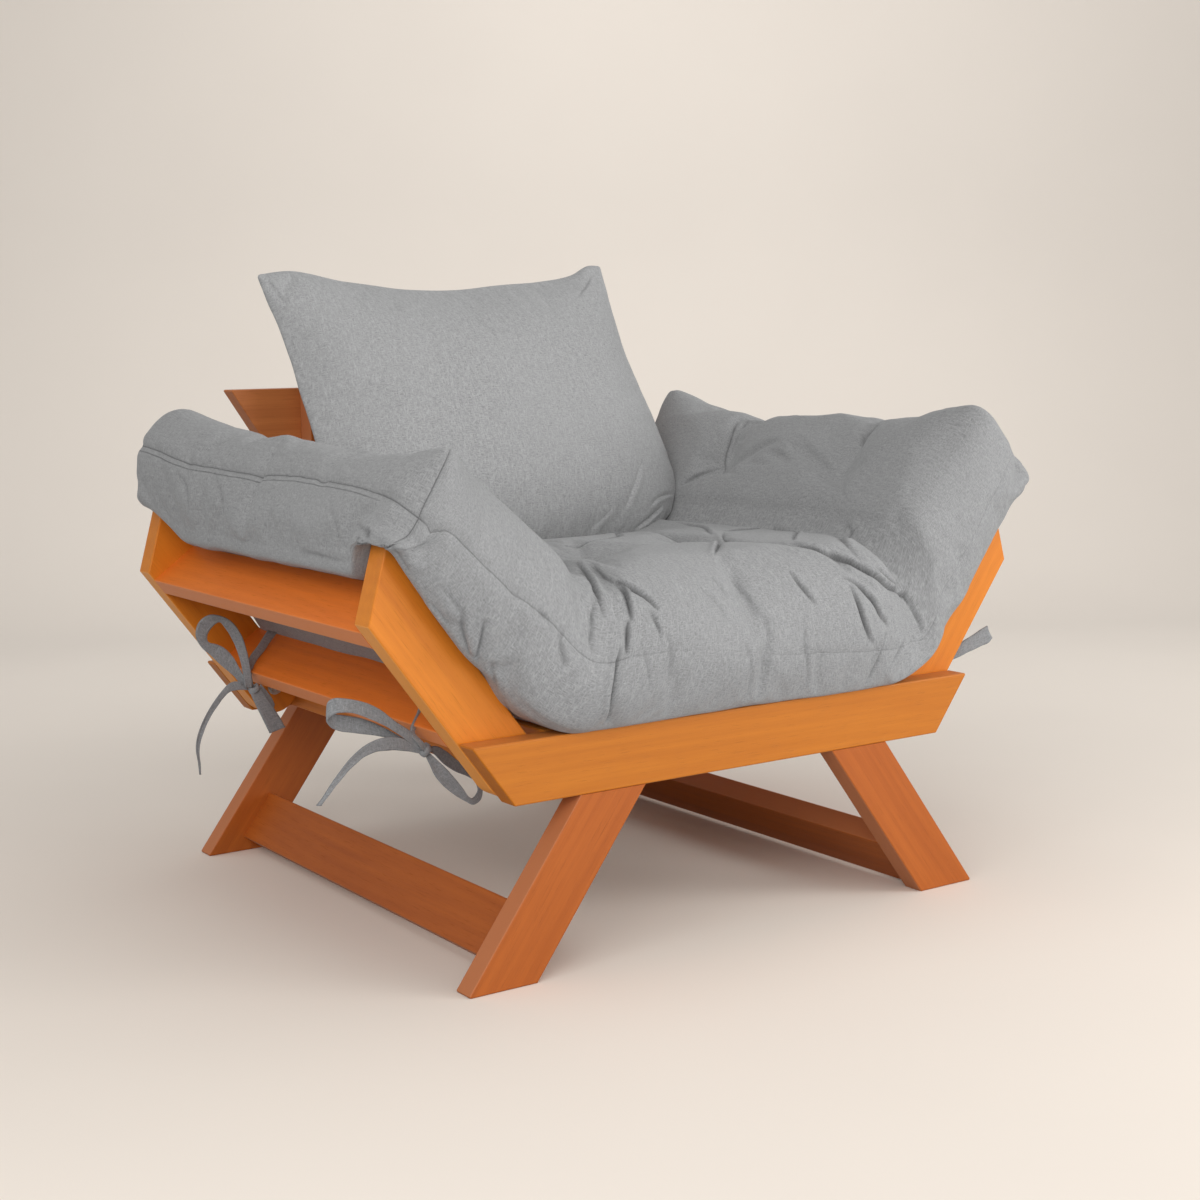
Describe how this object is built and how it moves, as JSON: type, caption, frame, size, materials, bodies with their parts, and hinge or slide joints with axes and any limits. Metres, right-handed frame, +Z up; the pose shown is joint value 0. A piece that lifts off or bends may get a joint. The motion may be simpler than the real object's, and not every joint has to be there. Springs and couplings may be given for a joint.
{
  "type": "reclining armchair",
  "caption": "Low solid wood lounge chair on splayed legs, with arm frames that swing down to seat level, a tufted mattress and a loose back cushion.",
  "frame": {"origin": "on the floor, under the middle of the chair's width and depth", "axes": "+X to the right as one looks at the chair from the front, +Y to the back, +Z up"},
  "size_m": [1.189, 0.978, 1.0129],
  "materials": {
    "honey_wood": "satin",
    "dark_wood": "satin",
    "dowel_wood": "matte",
    "steel": "satin",
    "nylon": "matte",
    "mattress_cloth": "matte",
    "cushion_cloth": "matte",
    "tape": "matte"
  },
  "bodies": {
    "base": {"back_cushion": "cushion_cloth", "back_rail_screws": "steel", "crest_rail": "honey_wood", "frame_bolt_nuts": "steel", "frame_bolt_washers": "steel", "frame_bolts": "steel", "front_leg_screws": "steel", "front_rail": "honey_wood", "left_back_post": "honey_wood", "left_front_leg": "dark_wood", "left_middle_slat": "honey_wood", "left_rear_leg": "dark_wood", "left_side_slat": "honey_wood", "left_stretcher": "dark_wood", "lower_back_rail": "honey_wood", "mattress_seat": "mattress_cloth", "pivot_bolts": "steel", "pivot_nuts": "steel", "pivot_spacers": "nylon", "pivot_washers": "steel", "rear_rail": "honey_wood", "right_back_post": "honey_wood", "right_front_leg": "dark_wood", "right_middle_slat": "honey_wood", "right_rear_leg": "dark_wood", "right_side_slat": "honey_wood", "right_stretcher": "dark_wood", "slat_dowels": "dowel_wood", "stretcher_dowels": "dowel_wood"},
    "left_arm": {"left_arm_dowels": "dowel_wood", "left_arm_front_board": "honey_wood", "left_arm_lower_cross_rail": "honey_wood", "left_arm_rear_board": "honey_wood", "left_arm_upper_cross_rail": "honey_wood", "left_front_tie": "tape", "left_mattress_arm": "mattress_cloth", "left_rear_tie": "tape"},
    "right_arm": {"right_arm_dowels": "dowel_wood", "right_arm_front_board": "honey_wood", "right_arm_lower_cross_rail": "honey_wood", "right_arm_rear_board": "honey_wood", "right_arm_upper_cross_rail": "honey_wood", "right_front_tie": "tape", "right_mattress_arm": "mattress_cloth", "right_rear_tie": "tape"}
  },
  "joints": [
    {"name": "left_arm_pivot", "type": "hinge", "parent": "base", "child": "left_arm", "pos_m": [-0.36871, 0, 0.2985], "axis": [0, -1, 0], "range_deg": [0, 53.5]},
    {"name": "right_arm_pivot", "type": "hinge", "parent": "base", "child": "right_arm", "pos_m": [0.36871, 0, 0.2985], "axis": [0, 1, 0], "range_deg": [0, 53.5]}
  ]
}
